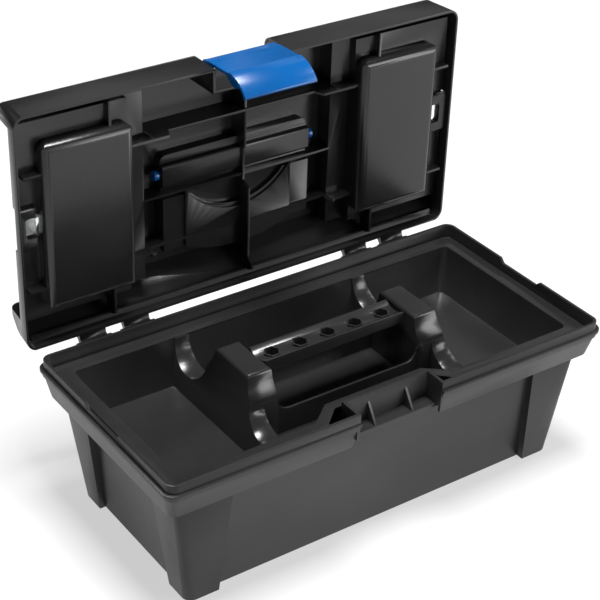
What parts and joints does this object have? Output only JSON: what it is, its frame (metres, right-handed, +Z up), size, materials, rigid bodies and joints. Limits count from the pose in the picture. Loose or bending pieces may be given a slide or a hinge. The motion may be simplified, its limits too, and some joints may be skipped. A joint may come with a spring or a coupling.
{
  "type": "toolbox with tray",
  "caption": "Moulded plastic toolbox with a lift-out tray, hinged lid with covered organiser bins, folding carry handle and front latch.",
  "frame": {"origin": "centre of the underside, between the four corner feet", "axes": "+X along the box's length, -Y towards the latch, +Z up; the lid is stored open"},
  "size_m": [0.405, 0.2434, 0.323],
  "materials": {
    "shell": "fine moulded texture, satin",
    "blue": "satin gloss",
    "clear": "clear, smooth",
    "pin": "drawn wire"
  },
  "bodies": {
    "base": {"tub": "shell", "hinge_pin_left": "pin", "hinge_pin_right": "pin"},
    "tray": {"tray": "shell", "grip_bar": "shell"},
    "lid": {"lid": "shell"},
    "latch": {"latch": "blue"},
    "carry_handle": {"carry_handle": "blue"},
    "cover_left": {"cover_left": "clear"},
    "cover_right": {"cover_right": "clear"}
  },
  "joints": [
    {"name": "lid_hinge", "type": "hinge", "parent": "base", "child": "lid", "pos_m": [0, 0.1057, 0.1163], "axis": [-1, 0, 0], "range_deg": [-90, 0]},
    {"name": "tray_lift", "type": "slide", "parent": "base", "child": "tray", "axis": [0, 0, 1], "range_m": [0, 0.12]},
    {"name": "latch_pivot", "type": "hinge", "parent": "lid", "child": "latch", "pos_m": [0, 0.1259, 0.312], "axis": [-1, 0, 0], "range_deg": [0, 85]},
    {"name": "handle_pivot", "type": "hinge", "parent": "lid", "child": "carry_handle", "pos_m": [0, 0.136, 0.229], "axis": [1, 0, 0], "range_deg": [0, 86]},
    {"name": "cover_left_hinge", "type": "hinge", "parent": "lid", "child": "cover_left", "pos_m": [-0.098, 0.1394, 0.211], "axis": [0, 0, -1], "range_deg": [0, 95]},
    {"name": "cover_right_hinge", "type": "hinge", "parent": "lid", "child": "cover_right", "pos_m": [0.098, 0.1394, 0.211], "axis": [0, 0, 1], "range_deg": [0, 95]}
  ]
}
